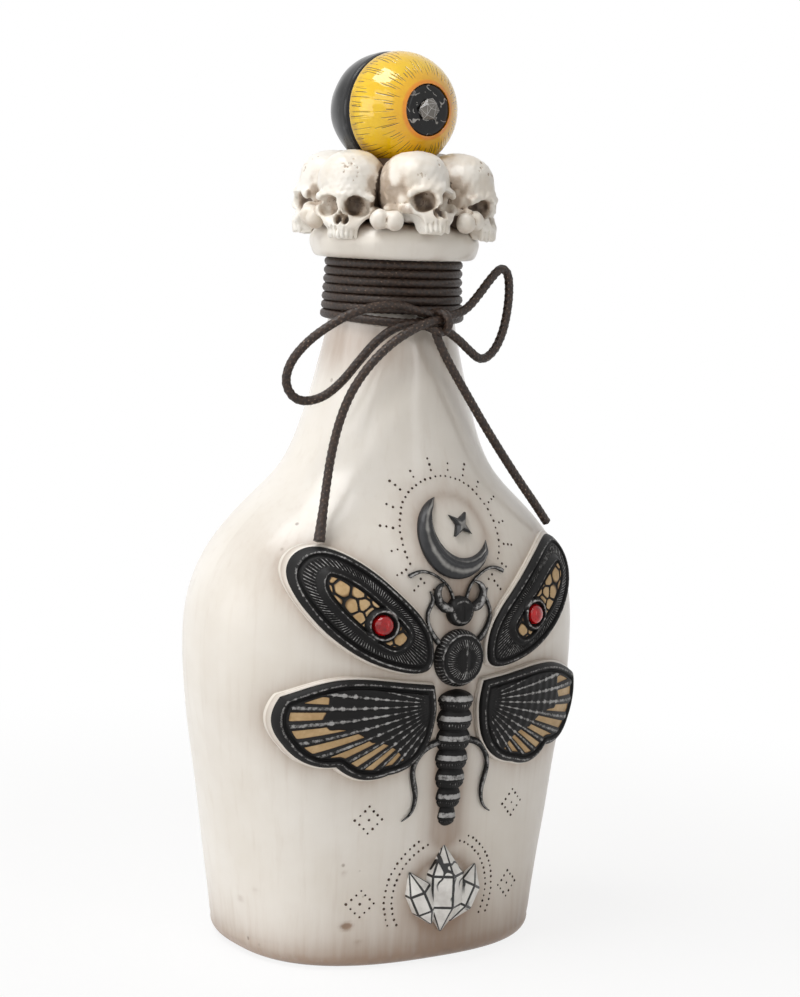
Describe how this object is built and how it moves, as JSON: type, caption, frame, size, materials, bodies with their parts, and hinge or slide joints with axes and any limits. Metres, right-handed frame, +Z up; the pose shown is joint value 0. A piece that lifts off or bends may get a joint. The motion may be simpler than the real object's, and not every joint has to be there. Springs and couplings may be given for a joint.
{
  "type": "poison bottle",
  "caption": "Flattened oval resin bottle with a lift-off stopper of skulls and an eyeball, a cord bow round its neck and a winged beetle relief on its front.",
  "frame": {"origin": "middle of the base, on the surface that the bottle stands on", "axes": "+Z up the neck's axis, -Y towards the decorated front, +X to the right of someone facing the front"},
  "size_m": [0.0947, 0.0667, 0.1999],
  "materials": {
    "resin": "satin hand-painted cast resin, off-white with grey-brown wash",
    "bone": "matt painted cast resin, ivory with brown wash in the hollows",
    "cork": "raw cork",
    "eye_yellow": "glossy varnished yellow with an orange ring",
    "eye_black": "glossy black",
    "clear_stone": "clear cut stone",
    "cord": "waxed cotton cord, dark brown",
    "relief_black": "black cast resin, dry-brushed with silver",
    "red_stone": "glossy red",
    "dark_metal": "dark pewter paint",
    "crystal": "white with dark cracks"
  },
  "bodies": {
    "bottle": {"bottle_body": "resin", "cord_winding": "cord", "bow_knot": "cord", "bow_loop_left": "cord", "bow_loop_right": "cord", "cord_tail_left": "cord", "cord_tail_right": "cord", "beetle_head": "relief_black", "beetle_thorax": "relief_black", "beetle_abdomen": "relief_black", "wing_case_left": "relief_black", "wing_case_right": "relief_black", "hind_wing_left": "relief_black", "hind_wing_right": "relief_black", "red_stone_left": "red_stone", "red_stone_right": "red_stone", "crescent": "dark_metal", "star": "dark_metal", "crystal_cluster": "crystal"},
    "stopper": {"cork_plug": "cork", "stopper_collar": "resin", "stopper_core": "resin", "stopper_bones": "bone", "eye_front_dome": "eye_yellow", "eye_back_cup": "eye_black", "pupil_disc": "eye_black", "pupil_gem": "clear_stone", "skull_1": "bone", "skull_2": "bone", "skull_3": "bone", "skull_4": "bone", "skull_5": "bone", "skull_6": "bone"}
  },
  "joints": [
    {"name": "stopper_lift", "type": "slide", "parent": "bottle", "child": "stopper", "axis": [0, 0, 1], "range_m": [0, 0.06]}
  ]
}
